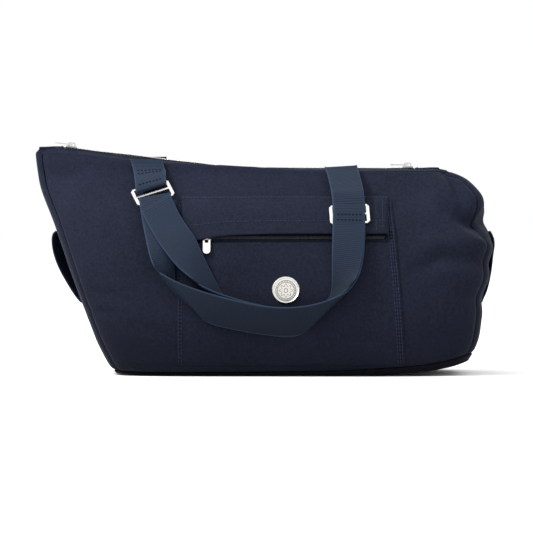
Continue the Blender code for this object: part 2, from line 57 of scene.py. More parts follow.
# Shell curves over height and along the length, close to the CAD model's
LEFT_END = ((0, -172), (12, -182), (80, -212), (168, -243), (225, -264), (262, -268))
RIGHT_END = ((0, 216), (14, 235), (45, 249), (80, 254), (140, 263), (170, 260), (205, 252), (225, 236),
             (238, 206))
HALF_DEPTH = ((0, 98), (6, 106), (20, 111), (60, 115), (120, 104), (180, 76), (220, 45), (236, 33), (262, 25))
TOP_EDGE = ((-268, 256), (-215, 253), (-158, 247), (-76, 243), (-17, 240), (41, 236.5), (140, 235),
            (206, 235))
BASE_LIFT = ((-182, 2), (-120, 0), (90, 0), (150, 2), (184, 4.6), (215, 10), (236, 16))
BOXINESS = 5.0          # superellipse exponent of the outline
SIDE_SHARE = 0.97       # how far along the half length a front or back panel reaches
WALL_HEIGHT = 240.0     # nominal, turns a height of the base seam into a share of the wall
BASE_RIM = ((-1, 1.6), (0, 3.6), (0.7, 7.5), (1, 8.0))     # height of the base seam over the unit length

# Fabric
CANVAS = 1.8            # thickness of a panel
SEAM_TUCK = 2.2         # how deep a seam is pulled in
STITCH, STITCH_GAP = 2.9, 1.3

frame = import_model()
NODES = frame["nodes"]


# -------- curves

def curve(points, at):
    """Values of a smooth, monotone-looking curve through the points, held flat past both ends."""
    xs, ys = (np.array(column, float) for column in zip(*points))
    slopes = np.diff(ys) / np.diff(xs)
    tangents = np.zeros(len(xs))
    tangents[0], tangents[-1] = slopes[0], slopes[-1]
    same_way = slopes[:-1] * slopes[1:] > 0
    with np.errstate(divide="ignore", invalid="ignore"):
        mean = 2 * slopes[:-1] * slopes[1:] / (slopes[:-1] + slopes[1:])
    tangents[1:-1] = np.where(same_way, mean, 0)
    at = np.clip(np.asarray(at, float), xs[0], xs[-1])
    i = np.clip(np.searchsorted(xs, at) - 1, 0, len(xs) - 2)
    span = np.diff(xs)[i]
    t = (at - xs[i]) / span
    return (ys[i] * (1 + 2 * t) * (1 - t) ** 2 + ys[i + 1] * t * t * (3 - 2 * t)
            + span * (tangents[i] * t * (1 - t) ** 2 - tangents[i + 1] * t * t * (1 - t)))


def partner(share):
    """The other coordinate of the unit outline."""
    return (1 - np.abs(share) ** BOXINESS) ** (1 / BOXINESS)


def shell_points(across, depth, rise, inset=0.0):
    """Shell positions for arrays of unit outline coordinates and height shares."""
    z = rise * 245      # a first guess, which the loop settles
    for _ in range(12):
        left, right = curve(LEFT_END, z), curve(RIGHT_END, z)
        x = (left + right) / 2 + ((right - left) / 2 - inset) * across
        lift, top = curve(BASE_LIFT, x), curve(TOP_EDGE, x)
        z = lift + rise * (top - lift)
    return np.stack([x, (curve(HALF_DEPTH, z) - inset) * depth, z], -1)


def unit(vectors):
    """Vectors of length 1 in the same directions."""
    return vectors / np.maximum(np.linalg.norm(vectors, axis=-1, keepdims=True), 1e-9)


def ease(t):
    """0 up to t = 0, 1 from t = 1, and smooth between."""
    t = np.clip(t, 0, 1)
    return t * t * (3 - 2 * t)


def ripple(points, scale, seed, octaves=3):
    """Smooth repeatable noise, about -1 to 1, at each point: crossed sine waves in seeded directions."""
    draw = np.random.default_rng(seed)
    total = np.zeros(points.shape[:-1])
    for octave in range(octaves):
        for _ in range(5):
            way = unit(draw.normal(size=3))
            phase = draw.uniform(0, 2 * math.pi)
            pace = 2 * math.pi * 1.8 ** octave / scale * draw.uniform(0.7, 1.3)
            bend = np.sin(points @ draw.normal(size=3) * pace * 0.35 + phase)
            total += np.sin(points @ way * pace + phase + bend) / 5 / 1.7 ** octave
    return total


def lengths_along(points):
    """Distance run at each point of a path."""
    return np.concatenate([[0], np.linalg.norm(np.diff(points, axis=0), axis=1).cumsum()])


def line_distance(x, z, line):
    """Distance in the XZ plane from points to a polyline, and the share of its length where it is nearest."""
    line = np.array(line, float)
    best, along = np.full(np.shape(x), 1e9), np.zeros(np.shape(x))
    lengths = np.linalg.norm(np.diff(line, axis=0), axis=1)
    total, run = lengths.sum(), 0.0
    for a, b, length in zip(line, line[1:], lengths):
        t = np.clip(((x - a[0]) * (b[0] - a[0]) + (z - a[1]) * (b[1] - a[1])) / length ** 2, 0, 1)
        d = np.hypot(x - a[0] - t * (b[0] - a[0]), z - a[1] - t * (b[1] - a[1]))
        closer = d < best
        best = np.where(closer, d, best)
        along = np.where(closer, (run + t * length) / total, along)
        run += length
    return best, along


# -------- meshes

def make(name, points, faces, finish, body=SHELL, uv=None, smooth_angle=40, closed=True):
    """A mesh object from points in mm that rides on a body. uv maps a vertex to its place in the weave."""
    mesh = bpy.data.meshes.new(name)
    mesh.from_pydata((np.asarray(points, float) * MM).tolist(), [], faces)
    if closed:
        work = bmesh.new()
        work.from_mesh(mesh)
        bmesh.ops.recalc_face_normals(work, faces=work.faces)
        work.to_mesh(mesh)
        work.free()
    if uv is not None:
        layer = mesh.uv_layers.new(name="weave")
        index = np.empty(len(mesh.loops), np.int32)
        mesh.loops.foreach_get("vertex_index", index)
        layer.data.foreach_set("uv", (np.asarray(uv, float)[index] * MM).ravel())
    mesh.shade_smooth()
    if smooth_angle:
        mesh.set_sharp_from_angle(angle=math.radians(smooth_angle))
    mesh.materials.append(finish)
    made = bpy.data.objects.new(name, mesh)
    bpy.context.scene.collection.objects.link(made)
    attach(made, body)
    return made


def grid_normals(grid):
    """Unit normals of a grid of points, rows by columns."""
    return unit(np.cross(np.gradient(grid, axis=1), np.gradient(grid, axis=0)))


def tube(base, rings, size, capped=True):
    """Quads between rings of points, the first of which has index base, and its two end faces."""
    faces = []
    for low in range(base, base + (rings - 1) * size, size):
        for i in range(size):
            j = (i + 1) % size
            faces.append([low + i, low + j, low + size + j, low + size + i])
    if capped:
        last = base + (rings - 1) * size
        faces += [list(range(base, base + size)), list(range(last, last + size))]
    return faces


def cloth(name, grid, finish, thick=CANVAS, body=SHELL, keep=None, offset=-1.0, levels=1, flip=False,
          uv=None):
    """Sewn cloth from a grid of points, thickened by a modifier.

    Columns run rightwards and rows upwards as seen from outside. keep is a mask of the grid's cells, and
    offset -1 puts the thickness inside.
    """
    rows, columns = grid.shape[:2]
    r, c = np.meshgrid(np.arange(rows - 1), np.arange(columns - 1), indexing="ij")
    corner = r * columns + c
    if keep is not None:
        corner = corner[keep]
    corner = corner.ravel()
    quads = np.stack([corner, corner + 1, corner + columns + 1, corner + columns], -1)
    if flip:
        quads = quads[:, ::-1]
    used, index = np.unique(quads, return_inverse=True)
    if uv is None:
        right, up = (np.linalg.norm(np.diff(grid, axis=axis), axis=-1) for axis in (1, 0))
        u = np.concatenate([np.zeros((rows, 1)), right], 1).cumsum(1)
        v = np.concatenate([np.zeros((1, columns)), up], 0).cumsum(0)
        uv = np.stack([u - u.mean(1, keepdims=True), v], -1)
    made = make(name, grid.reshape(-1, 3)[used], index.reshape(quads.shape).tolist(), finish, body,
                np.asarray(uv).reshape(-1, 2)[used], smooth_angle=None, closed=False)
    if keep is None:
        held = made.data.attributes.new("crease_vert", "FLOAT", "POINT")
        for at in (0, columns - 1, (rows - 1) * columns, rows * columns - 1):
            held.data[at].value = 1.0
    solid = made.modifiers.new("thickness", "SOLIDIFY")
    solid.thickness = thick * MM
    solid.offset = offset
    if levels:
        refine(made, levels)
    return made


def refine(piece, levels=1):
    modifier = piece.modifiers.new("smooth", "SUBSURF")
    modifier.levels = modifier.render_levels = levels


def stitches(name, paths, finish, body=SHELL, length=STITCH, gap=STITCH_GAP, width=0.85, proud=0.3):
    """Rows of sewn stitches along paths of (points, normals), each a grain whose ends dip into the cloth."""
    stations = np.array([0.0, 0.18, 0.5, 0.82, 1.0])
    lifts = np.array([-0.5, 0.55, 1.0, 0.55, -0.5]) * proud
    widths = np.array([0.35, 0.9, 1.0, 0.9, 0.35]) * width / 2
    turns = np.linspace(0, 2 * math.pi, 6, endpoint=False)
    points, faces = [], []
    for path, normals in paths:
        path, normals = np.asarray(path, float), np.asarray(normals, float)
        steps = lengths_along(path)
        for start in np.arange(gap / 2, steps[-1] - length, length + gap):
            base = len(points)
            at = start + stations * length
            here, ahead, behind, up = (np.stack([np.interp(where, steps, values[:, k]) for k in range(3)], -1)
                                       for where, values in ((at, path), (at + 0.5, path), (at - 0.5, path),
                                                             (at, normals)))
            up = unit(up)
            across = unit(np.cross(up, ahead - behind))
            for k, (lift, wide) in enumerate(zip(lifts, widths)):
                for turn in turns:
                    rise = lift + math.sin(turn) * wide * 0.8
                    points.append(here[k] + up[k] * rise + across[k] * math.cos(turn) * wide)
            faces += tube(base, len(stations), len(turns))
    return make(name, points, faces, finish, body, smooth_angle=60)


# -------- materials

class Nodes:
    """Short helper that builds one Principled material."""

    def __init__(self, name, colour, roughness, metallic=0.0, **sockets):
        self.material = bpy.data.materials.new(name)
        self.material.use_nodes = True
        self.tree = self.material.node_tree
        self.shader = self.tree.nodes["Principled BSDF"]
        self.shader.inputs["Base Color"].default_value = (*colour, 1)
        self.shader.inputs["Roughness"].default_value = roughness
        self.shader.inputs["Metallic"].default_value = metallic
        for key, value in sockets.items():
            self.shader.inputs[key.replace("_", " ")].default_value = value

    def node(self, kind, **settings):
        made = self.tree.nodes.new("ShaderNode" + kind)
        for key, value in settings.items():
            if key in made.inputs:
                made.inputs[key].default_value = value
            else:
                setattr(made, key, value)
        return made

    def link(self, start, end):
        self.tree.links.new(start, end)

    def fill(self, sockets, values):
        """Give each socket its value: a number, a colour or another node's output."""
        for socket, value in zip(sockets, values):
            if isinstance(value, (int, float, tuple)):
                socket.default_value = value
            else:
                self.link(value, socket)

    def math(self, operation, *values):
        made = self.node("Math", operation=operation)
        self.fill(made.inputs, values)
        return made.outputs[0]

    def times(self, first, second):
        return self.math("MULTIPLY", first, second)

    def weighed(self, first, share, second, rest):
        """Sum of two values, each times its own weight."""
        return self.math("ADD", self.times(first, share), self.times(second, rest))

    def split(self, vector):
        """Outputs X, Y and Z of a vector."""
        made = self.node("SeparateXYZ")
        self.link(vector, made.inputs[0])
        return made.outputs

    def weave(self):
        """Places in the flat cloth, in metres."""
        return self.node("UVMap", uv_map="weave").outputs["UV"]

    def place(self):
        """Places on the object, in metres."""
        return self.node("TexCoord").outputs["Object"]

    def noise(self, vector, scale, detail=3.0, roughness=0.55):
        made = self.node("TexNoise", Scale=scale, Detail=detail, Roughness=roughness)
        self.link(vector, made.inputs["Vector"])
        return made.outputs["Fac"]

    def wave(self, coordinate, pitch, phase=0.0):
        """0 to 1 sine along one coordinate, pitch in metres."""
        angle = self.math("ADD", self.times(coordinate, 2 * math.pi / pitch), phase)
        return self.math("MULTIPLY_ADD", self.math("SINE", angle), 0.5, 0.5)

    def ramp(self, value, low, high, stops=(0.0, 1.0)):
        """Colour between low and high as value goes over the stops."""
        made = self.node("ValToRGB")
        self.link(value, made.inputs["Fac"])
        first, last = made.color_ramp.elements
        first.position, last.position = stops
        first.color, last.color = (*low, 1), (*high, 1)
        return made.outputs["Color"]

    def span(self, value, low, high, start=0.0, stop=1.0):
        """Value mapped from start..stop to low..high."""
        made = self.node("MapRange")
        self.fill(made.inputs, (value, start, stop, low, high))
        return made.outputs["Result"]

    def shade_low(self, colour, body, depth=0.6, top=0.2):
        """Colour that deepens towards the base: painted shade, as if the light came from above."""
        # Painted shade: colour scaled from depth at the base up to full at the given top height.
        share = self.span(self.split(body)["Z"], depth, 1.0, 0.0, top)
        grey = self.node("CombineColor")
        self.fill(grey.inputs, (share, share, share))
        return self.mix(1.0, colour, grey.outputs[0], "MULTIPLY")

    def mix(self, share, first, second, blend_type="MIX"):
        """Two colours mixed."""
        made = self.node("Mix", data_type="RGBA", blend_type=blend_type)
        self.fill((made.inputs[0], *made.inputs[6:8]), (share, first, second))
        return made.outputs[2]

    def bump(self, height, distance, strength=1.0, before=None):
        made = self.node("Bump", Strength=strength, Distance=distance)
        self.link(height, made.inputs["Height"])
        if before is not None:
            self.link(before, made.inputs["Normal"])
        return made.outputs["Normal"]

    def use(self, output, socket):
        self.link(output, self.shader.inputs[socket])


def scaled(colour, factor):
    return tuple(min(channel * factor, 1.0) for channel in colour)


def fabric(name, colour, thread, contrast=0.55, bump=0.00022, sheen=0.03, roughness=0.82, mottle=0.2):
    """Plain weave: crossed threads from the weave coordinates, slubs, and a broad mottle."""
    made = Nodes(name, colour, roughness, Sheen_Weight=sheen, Sheen_Roughness=0.3, Specular_IOR_Level=0.06)
    made.shader.inputs["Sheen Tint"].default_value = (0.62, 0.70, 0.90, 1)
    flat = made.split(made.weave())
    body = made.place()
    warp = made.wave(flat["X"], thread)
    weft = made.wave(flat["Y"], thread)
    # Over and under: threads swap places from cell to cell
    checker = made.times(made.math("SUBTRACT", warp, 0.5), made.math("SUBTRACT", weft, 0.5))
    weave = made.math("MULTIPLY_ADD", checker, 2.0, 0.5)
    slub = made.noise(body, 330.0, 5.0, 0.7)
    broad = made.noise(body, 9.0, 4.0, 0.5)
    fine = made.noise(body, 1500.0, 2.0, 0.6)
    mixed = made.weighed(made.weighed(weave, 0.35, slub, 0.65), 1 - mottle, broad, mottle)
    tone = made.ramp(mixed, scaled(colour, 1 - contrast), scaled(colour, 1 + contrast), (0.37, 0.63))
    # Painted shade: every canvas colour darkens towards the base of the bag.
    made.use(made.shade_low(tone, body), "Base Color")
    made.use(made.span(slub, roughness - 0.08, min(roughness + 0.08, 1.0)), "Roughness")
    first = made.bump(made.weighed(weave, 0.6, fine, 0.4), bump)
    made.use(made.bump(slub, bump * 1.6, 0.6, first), "Normal")
    return made.material


def webbing_material(name, colour):
    """Ribbed webbing: ribs across the band, a brighter line along each edge as a painted highlight, and painted
    shade towards the base.
    """
    made = Nodes(name, colour, 0.6, Sheen_Weight=0.03, Sheen_Roughness=0.3, Specular_IOR_Level=0.08)
    made.shader.inputs["Sheen Tint"].default_value = (0.6, 0.74, 0.95, 1)
    flat = made.split(made.weave())
    across, along = flat["X"], flat["Y"]
    body = made.place()
    ribs = made.wave(along, 0.0021)
    threads = made.wave(across, 0.0011)
    # Painted highlight: a lighter line along both edges of the band.
    edge = made.span(made.math("ABSOLUTE", across), 0.0, 1.0, 0.0166, 0.0178)
    slub = made.noise(body, 700.0, 3.0)
    broad = made.noise(body, 14.0, 3.0)
    tone = made.weighed(made.weighed(ribs, 0.45, slub, 0.35), 1.0, broad, 0.2)
    plain = made.ramp(tone, scaled(colour, 0.72), scaled(colour, 1.3), (0.2, 0.8))
    # Painted shade: the band darkens strongly towards the base, down to a fifth of its colour.
    plain = made.shade_low(plain, body, 0.2, 0.17)
    # The painted edge highlight is mixed into the base colour here.
    made.use(made.mix(edge, plain, (*scaled(colour, 1.6), 1)), "Base Color")
    made.use(made.span(tone, 0.5, 0.72), "Roughness")
    first = made.bump(made.weighed(ribs, 0.8, threads, 0.2), 0.00025)
    made.use(made.bump(slub, 0.0001, 0.5, first), "Normal")
    return made.material


def metal(name, colour, roughness):
    """Plated metal with faint scuffs."""
    made = Nodes(name, colour, roughness, 1.0)
    body = made.place()
    scuff = made.noise(body, 260.0, 5.0, 0.7)
    cloud = made.noise(body, 60.0, 2.0)
    made.use(made.ramp(cloud, scaled(colour, 0.9), scaled(colour, 1.05), (0.3, 0.7)), "Base Color")
    made.use(made.span(scuff, roughness * 0.7, roughness * 1.5, 0.35, 0.65), "Roughness")
    made.use(made.bump(scuff, 0.00003, 0.5), "Normal")
    return made.material


NAVY = (0.0078, 0.0098, 0.0194)
WEB_NAVY = (0.0086, 0.0150, 0.0285)
canvas = fabric("canvas", NAVY, 0.0011)
facing_cloth = fabric("canvas_facing", scaled(NAVY, 0.9), 0.0011)
# Painted shade: the base's canvas is the navy at about a third of its brightness, for the underside standing in
# shadow.
base_cloth = fabric("canvas_base", scaled(NAVY, 0.35), 0.0011)
tape_cloth = fabric("zip_tape", scaled(NAVY, 0.8), 0.0007)
lining_cloth = fabric("lining", (0.10, 0.10, 0.11), 0.0005, roughness=0.7)
thread = fabric("thread", scaled(NAVY, 2.7), 0.0004, roughness=0.6)
web_cloth = webbing_material("webbing", WEB_NAVY)
nickel = metal("nickel", (0.56, 0.55, 0.53), 0.28)


# -------- shell

# Creases of the front: (depth, half width, polyline in X and Z)
FRONT_FOLDS = (
    (13.0, 12.0, ((214, 190), (232, 182), (248, 178), (266, 176))),
    (6.0, 4.5, ((206, 238), (214, 228), (222, 212), (232, 198))),
    (6.5, 9.0, ((176, 122), (204, 138), (232, 134), (262, 128))),
    (3.0, 6.0, ((238, 168), (252, 160), (266, 150))),
    (2.5, 10.0, ((180, 178), (206, 164), (232, 154))),
    (3.0, 9.0, ((262, 98), (246, 92), (226, 92))),
    (2.0, 6.0, ((-200, 97), (-176, 93), (-154, 86))),
    (1.8, 5.0, ((-203, 76), (-186, 72), (-168, 72))),
    (1.4, 6.0, ((-150, 60), (-126, 52), (-112, 50))),
    (2.2, 7.0, ((-262, 236), (-240, 228), (-214, 230))),
    (1.2, 5.0, ((-196, 214), (-176, 190), (-166, 170))),
    (1.2, 4.0, ((38, 240), (44, 228), (60, 219))),
    (1.0, 4.0, ((-60, 240), (-52, 228), (-36, 222))),
    (1.2, 6.0, ((60, 34), (96, 44), (140, 40))),
)
BACK_FOLDS = (
    (7.0, 12.0, ((210, 206), (232, 190), (262, 176))),
    (3.5, 14.0, ((60, 60), (110, 84), (170, 92), (240, 84))),
    (3.0, 13.0, ((-190, 150), (-120, 160), (-60, 150))),
    (1.6, 7.0, ((-200, 90), (-172, 92), (-150, 84))),
)


# Dents across the right end: (height, half width, depth), a negative depth stands out
END_DENTS = ((177, 9, 4.5), (152, 10, -2.0), (82, 9, 2.5))


def rumple(points):
    """How far each shell point moves out along its normal: broad sag, undulation and pressed-in folds."""
    x, y, z = points[..., 0], points[..., 1], points[..., 2]
    free = ease((z - 14) / 40) * ease((curve(TOP_EDGE, x) - z) / 45)
    move = 1.6 * ripple(points, 150, 5, 2) * free
    for way, folds in ((-1, FRONT_FOLDS), (1, BACK_FOLDS)):
        side = ease(way * y / 34)
        for depth, wide, line in folds:
            distance, along = line_distance(x, z, line)
            taper = np.sin(np.pi * np.clip(along, 0.06, 0.94)) ** 0.6
            valley = np.exp(-(distance / wide) ** 2)
            shoulder = np.exp(-((distance - 1.9 * wide) / wide) ** 2)
            move += side * taper * depth * (0.28 * shoulder - valley)
    for middle, wide, depth in END_DENTS:
        move -= ease((x - 226) / 26) * depth * np.exp(-((z - middle) / wide) ** 2)
    return move


def outline_loop(side_count, end_count):
    """Unit outline coordinates once round, from the front's left seam: front, right end, back, left end."""
    corner = float(partner(SIDE_SHARE))
    side = np.linspace(-SIDE_SHARE, SIDE_SHARE, side_count + 1)[:-1]
    end = np.linspace(-corner, corner, end_count + 1)[:-1]
    across = np.concatenate([side, partner(end), -side, -partner(end)])
    depth = np.concatenate([-partner(side), end, partner(side), -end])
    return across, depth


SIDE_COLUMNS, END_COLUMNS, WALL_ROWS = 150, 36, 74


def loop_normals(grid):
    """Unit normals of a grid whose columns close on themselves."""
    return grid_normals(np.concatenate([grid[:, -2:], grid, grid[:, :2]], 1))[:, 2:-2]


def wall_grid():
    """The four walls as one closed grid of points, rows from the base seam up to the top edge."""
    across, depth = outline_loop(SIDE_COLUMNS, END_COLUMNS)
    across, rise = np.meshgrid(across, np.linspace(0, 1.0, WALL_ROWS))
    rise = rise + (1 - rise) * curve(BASE_RIM, across) / WALL_HEIGHT
    depth = np.broadcast_to(depth, across.shape)
    grid = shell_points(across, depth, rise)
    normals = loop_normals(grid)
    # Seams: pulled in within a few millimetres of each corner seam, and at the top and bottom rows
    seams = np.array([0, SIDE_COLUMNS, SIDE_COLUMNS + END_COLUMNS, 2 * SIDE_COLUMNS + END_COLUMNS])
    tuck = np.zeros(grid.shape[:2])
    for seam in seams:
        gap = np.linalg.norm(grid - grid[:, seam:seam + 1], axis=-1)
        tuck = np.maximum(tuck, np.exp(-(gap / 3.2) ** 2))
    rows_gap = np.linalg.norm(grid - grid[:1], axis=-1)
    tuck = np.maximum(tuck, 0.8 * np.exp(-(rows_gap / 3.0) ** 2))
    grid = grid + normals * (rumple(grid) - SEAM_TUCK * tuck)[..., None]
    return grid


def shell():
    """The four sewn wall panels. Returns their points as one grid, its first column repeated at the end."""
    grid = wall_grid()
    loop = np.concatenate([grid, grid[:, :1]], 1)
    cuts = np.cumsum([0, SIDE_COLUMNS, END_COLUMNS, SIDE_COLUMNS, END_COLUMNS])
    names = ("front_panel", "right_end_panel", "back_panel", "left_end_panel")
    for name, low, high in zip(names, cuts, cuts[1:]):
        piece = cloth(name + "_cloth", loop[:, low:high + 1], canvas)
        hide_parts(name)
    return loop


def base():
    """Base panel: a tray whose rolled rim meets the walls at their seam."""
    across, depth = outline_loop(SIDE_COLUMNS, END_COLUMNS)
    shapes = []
    for share in (0.0, 0.12, 0.35, 0.65, 1.0):
        shapes.append(shell_points(across, depth, share * curve(BASE_RIM, across) / WALL_HEIGHT))
    rings = np.array(shapes)
    rings[-1, :, 1] *= 0.992
    size = rings.shape[1]
    points = rings.reshape(-1, 3)
    faces = tube(0, len(rings), size, capped=False)
    # Floor: inner rings towards the middle line
    start = len(points)
    rim = rings[0]
    inner = [rim * np.array([1, s, 1]) for s in (0.8, 0.5, 0.2)]
    points = np.concatenate([points] + inner)
    previous = 0
    for k in range(3):
        here = start + k * size
        for i in range(size):
            j = (i + 1) % size
            faces.append([previous + i, here + i, here + j, previous + j])
        previous = here
    faces.append([previous + i for i in range(size)])
    uv = points[:, :2]
    made = make("base_panel_cloth", points, faces, base_cloth, uv=uv, smooth_angle=None)
    solid = made.modifiers.new("thickness", "SOLIDIFY")
    solid.thickness = CANVAS * MM
    solid.offset = -1
    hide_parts("base_panel")
    return made


wall = shell()
base()


# -------- places on the shell

WALL_TREE = BVHTree.FromPolygons(
    [Vector(point) for point in wall.reshape(-1, 3)],
    [[at, at + 1, at + wall.shape[1] + 1, at + wall.shape[1]]
     for low in range(0, wall.shape[1] * (wall.shape[0] - 1), wall.shape[1])
     for at in range(low, low + wall.shape[1] - 1)])


def smooth_wall(x, z):
    """Y of the plain front wall under the folds, for arrays of x and z."""
    x, z = np.asarray(x, float), np.asarray(z, float)
    left, right = curve(LEFT_END, z), curve(RIGHT_END, z)
    share = np.minimum(np.abs((x - (left + right) / 2) / ((right - left) / 2)), 0.999)
    return -curve(HALF_DEPTH, z) * partner(share)


def front(x, z, off=0.0, smooth=1.0):
    """Points off the front wall at arrays of x and z, and normals.

    smooth 0 follows the rumpled cloth, and 1 the plain wall.
    """
    x, z, off = np.broadcast_arrays(*(np.asarray(value, float) for value in (x, z, off)))
    y = smooth_wall(x, z)
    if smooth < 1:
        hits = []
        for a, b, plain in zip(x.ravel(), z.ravel(), y.ravel()):
            hit = WALL_TREE.ray_cast(Vector((a, -300, b)), Vector((0, 1, 0)))[0]
            hits.append((hit or Vector((a, plain, b))).y)
        y = y * smooth + np.array(hits).reshape(x.shape) * (1 - smooth)
    lean = (smooth_wall(x, z + 4) - smooth_wall(x, z - 4)) / 8
    turn = (smooth_wall(x + 4, z) - smooth_wall(x - 4, z)) / 8
    normal = unit(np.stack([turn, -np.ones_like(y), lean], -1))
    return np.stack([x, y, z], -1) + normal * off[..., None], normal


# -------- top: facings, zip tapes, teeth

ZIP_LEFT, ZIP_LEFT_Z = -233.0, 262.5
ZIP_KINK, ZIP_KINK_Z = -35.0, 238.5
ZIP_RIGHT, ZIP_RIGHT_Z = 174.0, 238.0
TAPE_OUT, TEETH_OUT, TEETH_IN = 16.0, 6.0, 3.5
TAB_LEFT, TAB_RIGHT = -262.0, 202.0


def zip_z(x):
    return np.interp(x, (ZIP_LEFT, ZIP_KINK, ZIP_RIGHT), (ZIP_LEFT_Z, ZIP_KINK_Z, ZIP_RIGHT_Z))


def facing(side, word, names):
    """Canvas strip from the mouth's edge in to the zip tape, wrapped half round both ends."""
    top = wall[-1]
    size = SIDE_COLUMNS + END_COLUMNS
    half = END_COLUMNS // 2
    if side > 0:
        edge = np.concatenate([top[-1 - half:-1], top[:SIDE_COLUMNS + half + 1]])
    else:
        edge = top[size - half:size + SIDE_COLUMNS + half + 1][::-1]
    inner_x = np.clip(edge[:, 0] * 0.985, TAB_LEFT, TAB_RIGHT)
    inner_y = -side * np.minimum(np.abs(edge[:, 1]), TAPE_OUT)
    inner = np.stack([inner_x, inner_y, zip_z(inner_x) - 0.3], -1)
    rows = []
    for share in np.linspace(0, 1, 8):
        row = edge + (inner - edge) * share
        arch = math.sin(math.pi * share)
        row[:, 2] += 0.7 * math.sin(math.pi * min(share * 4, 1)) + arch * 0.8 * ripple(row, 60, 9, 2)
        row[:, 2] -= 0.9 * max(0.0, 1 - share * 7)     # its edge is sewn in behind the panels
        rows.append(row)
    grid = np.array(rows)
    piece = cloth(word + "_zip_facing_cloth", grid, facing_cloth, 1.4, flip=side < 0)
    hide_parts(names)
    line = grid[6, half + 4:-half - 4]
    stitches(word + "_facing_stitches", [(line + [0, 0, 0.1], np.full(line.shape, (0.0, 0.0, 1.0)))], thread)


def zip_side(side, word):
    """Woven tape and its row of separate teeth."""
    x = np.linspace(ZIP_LEFT, ZIP_RIGHT, 150)
    rows = []
    for y in np.linspace(TAPE_OUT + 1.5, TEETH_OUT - 0.6, 6):
        wave = 0.35 * np.sin(x / 13 + side) * (1 if y > TEETH_OUT else 0.6)
        rows.append(np.stack([x, np.full_like(x, -side * y), zip_z(x) + wave], -1))
    tape = cloth(f"main_zip_tape_{word}_cloth", np.array(rows), tape_cloth, 0.8, offset=0.0, flip=side < 0)
    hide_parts("main_zip_tape_" + word)
    points, faces = [], []
    pitch = 2.7
    # A tooth's three sections from the tape inwards: place in Y, half its width and half its height
    tooth = ((TEETH_OUT + 0.4, 0.75, 1.15), (TEETH_IN + 1.0, 0.75, 1.2), (TEETH_IN, 0.5, 0.8))
    for at in np.arange(ZIP_LEFT + 1, ZIP_RIGHT - 1, pitch):
        if side < 0:
            at += pitch / 2
        base = len(points)
        level = float(zip_z(at)) + 0.21 * math.sin(at / 13 + side)
        for y, half, tall in tooth:
            points += [(at + a * half, -side * y, level + b * tall)
                       for a, b in ((-1, -1), (1, -1), (1, 1), (-1, 1))]
        faces += tube(base, len(tooth), 4)
    teeth = make(f"main_zip_teeth_{word}_metal", points, faces, nickel, smooth_angle=30)
    round_edges(teeth, 0.2)
    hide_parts("main_zip_teeth_" + word)


def round_edges(piece, width, segments=2, angle=30):
    bevel = piece.modifiers.new("edges", "BEVEL")
    bevel.width = width * MM
    bevel.segments = segments
    bevel.limit_method = "ANGLE"
    bevel.angle_limit = math.radians(angle)
    bevel.harden_normals = False


def zip_tab(name, inside, outside):
    """Folded canvas patch over the end of the zip, between the facings."""
    x = np.linspace(min(inside, outside), max(inside, outside), 12)
    rows = []
    for y in np.linspace(-TAPE_OUT - 1, TAPE_OUT + 1, 12):
        edge = 1 - (abs(y) / (TAPE_OUT + 1)) ** 6
        rows.append(np.stack([x, np.full_like(x, y), zip_z(x) + 0.2 + edge + 0.3 * np.sin(x / 5)], -1))
    piece = cloth(name + "_cloth", np.array(rows), facing_cloth, 1.4)
    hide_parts(name)
    inner = inside + (2.5 if outside > inside else -2.5)
    path = np.stack([np.full(12, inner), np.linspace(-TAPE_OUT, TAPE_OUT, 12),
                     np.full(12, float(zip_z(inner)) + 1.3 + 0.3 * math.sin(inner / 5))], -1)
    stitches(name + "_stitches", [(path, np.full(path.shape, (0.0, 0.0, 1.0)))], thread)


def inner_bag():
    """Lining: follows the shell a few millimetres inside, with its own soft creases, down to the floor."""
    across, depth = outline_loop(56, 16)
    rows = []
    for rise in np.linspace(0.06, 0.955, 26):
        rows.append(shell_points(across, depth, np.full(across.shape, rise), 7.5))
    for share, lift in ((0.94, -1.5), (0.8, -3.0), (0.5, -3.6), (0.15, -3.8)):
        floor = rows[0] * [0.97, 1, 1] * [1, share, 1]
        floor[:, 2] += lift
        rows.insert(0, floor)
    grid = np.array(rows)
    wave = rumple(grid) - 1.0 - ripple(grid, 70, 21, 3)
    wave[:4] = 0
    grid = grid + loop_normals(grid) * wave[..., None]
    loop = np.concatenate([grid, grid[:, :1]], 1)
    piece = cloth("lining_cloth", loop, lining_cloth, 0.6, levels=0)
    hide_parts("lining")


facing(1, "front", "front_zip_facing")
facing(-1, "back", "back_zip_facing")
for zip_word, zip_way in (("front", 1), ("back", -1)):
    zip_side(zip_way, zip_word)
zip_tab("zip_end_tab_left", ZIP_LEFT - 1.0, TAB_LEFT - 1)
zip_tab("zip_end_tab_right", ZIP_RIGHT + 1.0, TAB_RIGHT + 1)
inner_bag()


# -------- front pocket

POCKET_LEFT, POCKET_BOTTOM, POCKET_TOP = -101.0, 13.0, 203.5
POCKET_RIGHT = ((13, 161), (106, 155), (204, 146))       # x of the slanting right seam by height
SLOT_LEFT, SLOT_RIGHT, SLOT_LOW, SLOT_HIGH = -85.0, 147.0, 151.5, 166.0
POCKET_ZIP_Z, COIL_PITCH = 158.0, 1.5
BAND_LEFT, BAND_RIGHT = -96.0, 143.0
BAND_EDGE = ((-96, 150.5), (-79, 151.8), (-65, 154.0), (-53, 156.0), (-38, 157.2), (17, 158.6),
             (143, 159.2))


